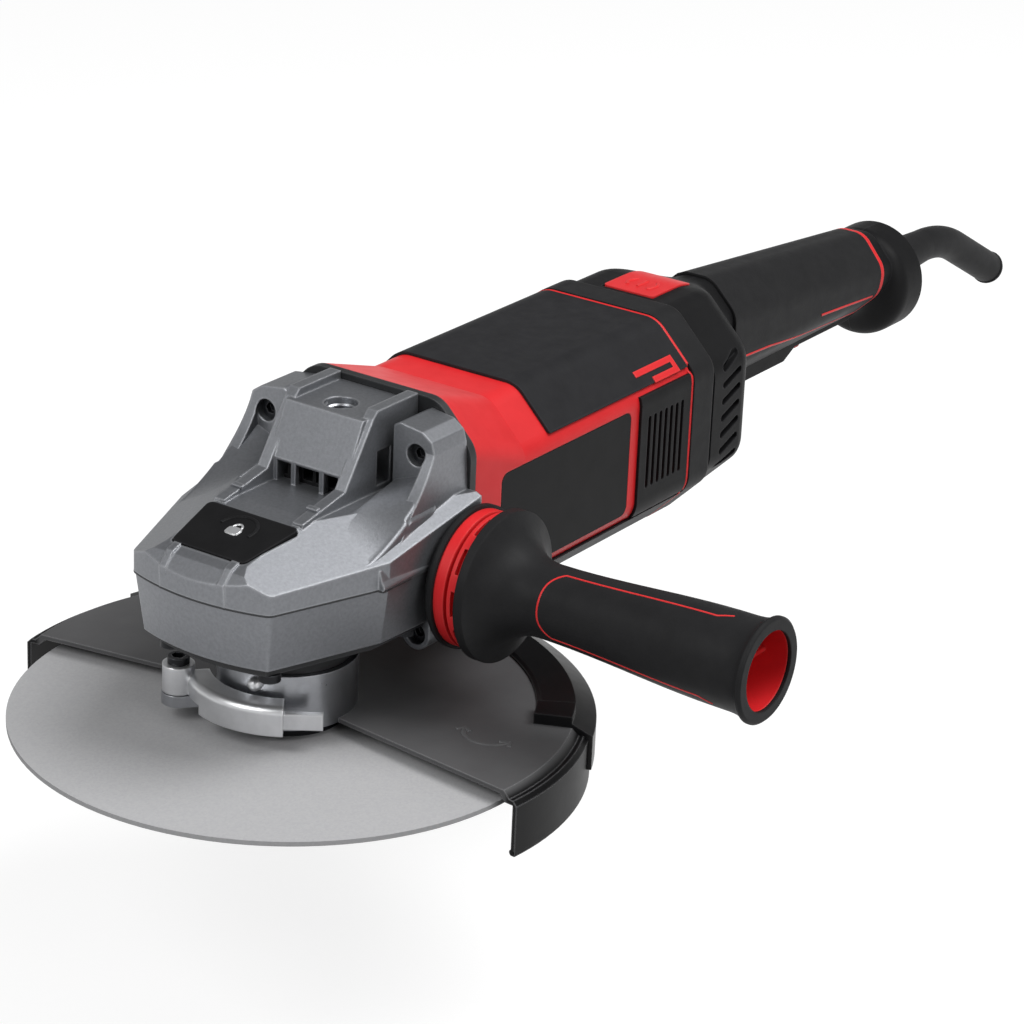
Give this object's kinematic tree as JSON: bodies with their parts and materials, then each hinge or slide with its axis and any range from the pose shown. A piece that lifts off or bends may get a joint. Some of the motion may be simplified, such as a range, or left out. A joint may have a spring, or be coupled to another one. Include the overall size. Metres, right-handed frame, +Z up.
{
  "type": "angle grinder",
  "caption": "Corded angle grinder with a cast gear head, adjustable disc guard, side handle and a swivelling rear handle with a paddle trigger.",
  "frame": {"origin": "on the spindle axis, at the lower face of the clamp nut, in the middle of its four spanner holes", "axes": "+X from the spindle along the motor to the rear handle, +Y to the operator's left, away from the fitted side handle, +Z up out of the disc"},
  "size_m": [0.7251, 0.3265, 0.1505],
  "materials": {
    "cast_alloy": "satin cast alloy, lightly blasted",
    "dark_casting": "black coated casting",
    "polished_casting": "bright die-cast lever",
    "black_steel": "black oxide",
    "steel": "machined",
    "bronze": "sintered",
    "copper": "enamelled wire and copper bars",
    "lamination": "stacked electrical sheet",
    "carbon": "pressed carbon",
    "abrasive": "even pale grey, matte",
    "guard_paint": "satin dark grey paint",
    "guard_cover": "black moulding",
    "red_plastic": "satin red moulding",
    "black_plastic": "fine grained black moulding",
    "panel_plastic": "bare black label field",
    "cover_plastic": "soft black moulding",
    "rubber": "black soft grip"
  },
  "bodies": {
    "machine": {"gear_housing": "cast_alloy", "lower_housing": "cast_alloy", "bearing_flange": "dark_casting", "bearing_plate": "dark_casting", "air_deflector": "black_plastic", "head_screws": "black_steel", "flange_screws": "black_steel", "bearing_retainer": "steel", "spindle_bearing_lower": "steel", "spindle_bush": "bronze", "motor_bearing_front": "steel", "motor_bearing_rear": "steel", "motor_housing": "red_plastic", "top_cover": "cover_plastic", "bottom_cover": "cover_plastic", "side_panel_left": "panel_plastic", "side_panel_right": "panel_plastic", "vent_grille_left": "black_plastic", "vent_grille_right": "black_plastic", "bumper_ring": "rubber", "stator_core": "lamination", "field_coils": "copper", "air_guide": "black_plastic", "brush_holders": "bronze", "carbon_brushes": "carbon", "handle_washer": "rubber", "handle_stud": "steel", "handle_core": "red_plastic", "handle_grip": "rubber"},
    "spindle": {"spindle_shaft": "steel", "crown_gear": "steel", "inner_flange": "black_steel", "grinding_disc": "abrasive", "clamp_nut": "steel"},
    "armature": {"armature_shaft": "steel", "pinion": "steel", "armature_core": "lamination", "armature_windings": "copper", "commutator": "copper", "cooling_fan": "black_plastic"},
    "spindle_lock": {"lock_button": "black_plastic", "lock_pin": "steel"},
    "guard": {"guard_shell": "guard_paint", "rim_cover": "guard_cover", "guard_collar": "steel", "lever_screw": "black_steel"},
    "clamp_lever": {"clamp_lever": "polished_casting"},
    "rear_handle": {"handle_shell_left": "black_plastic", "handle_shell_right": "black_plastic", "grip_cover": "rubber", "trim_ring": "red_plastic", "handle_screws": "black_steel", "switch_block": "black_plastic", "trigger_pin": "steel", "cord_sleeve": "rubber"},
    "trigger": {"trigger": "black_plastic"},
    "lock_off": {"lock_off": "red_plastic"},
    "swivel_button": {"swivel_button": "red_plastic"}
  },
  "joints": [
    {"name": "spindle_spin", "type": "hinge", "parent": "machine", "child": "spindle", "pos_m": [0, 0, 0], "axis": [0, 0, 1], "continuous": true},
    {"name": "armature_spin", "type": "hinge", "parent": "machine", "child": "armature", "pos_m": [0, 0, 0.084], "axis": [1, 0, 0], "continuous": true},
    {"name": "spindle_lock_press", "type": "slide", "parent": "machine", "child": "spindle_lock", "axis": [0, 0, -1], "range_m": [0, 0.004], "stiffness_N_per_m": 1000, "springref_m": -0.003},
    {"name": "guard_turn", "type": "hinge", "parent": "machine", "child": "guard", "pos_m": [0, 0, 0], "axis": [0, 0, 1], "range_deg": [-90, 90]},
    {"name": "clamp_open", "type": "hinge", "parent": "guard", "child": "clamp_lever", "pos_m": [-0.03291, 0.03069, 0], "axis": [0, 0, -1], "range_deg": [0, 80]},
    {"name": "handle_swivel", "type": "hinge", "parent": "machine", "child": "rear_handle", "pos_m": [0, 0, 0.084], "axis": [1, 0, 0], "range_deg": [-90, 90]},
    {"name": "trigger_press", "type": "hinge", "parent": "rear_handle", "child": "trigger", "pos_m": [0.4363, 0, 0.079], "axis": [0, 1, 0], "range_deg": [0, 4], "stiffness_Nm_per_rad": 2, "springref_deg": -5.73},
    {"name": "lock_off_slide", "type": "slide", "parent": "trigger", "child": "lock_off", "axis": [1, 0, 0], "range_m": [0, 0.005], "stiffness_N_per_m": 400, "springref_m": -0.002},
    {"name": "swivel_button_press", "type": "slide", "parent": "rear_handle", "child": "swivel_button", "axis": [0, 0, -1], "range_m": [0, 0.003], "stiffness_N_per_m": 1000, "springref_m": -0.003}
  ],
  "couplings": [
    {"joint": "armature_spin", "follows": "spindle_spin", "ratio": 4.1111}
  ]
}
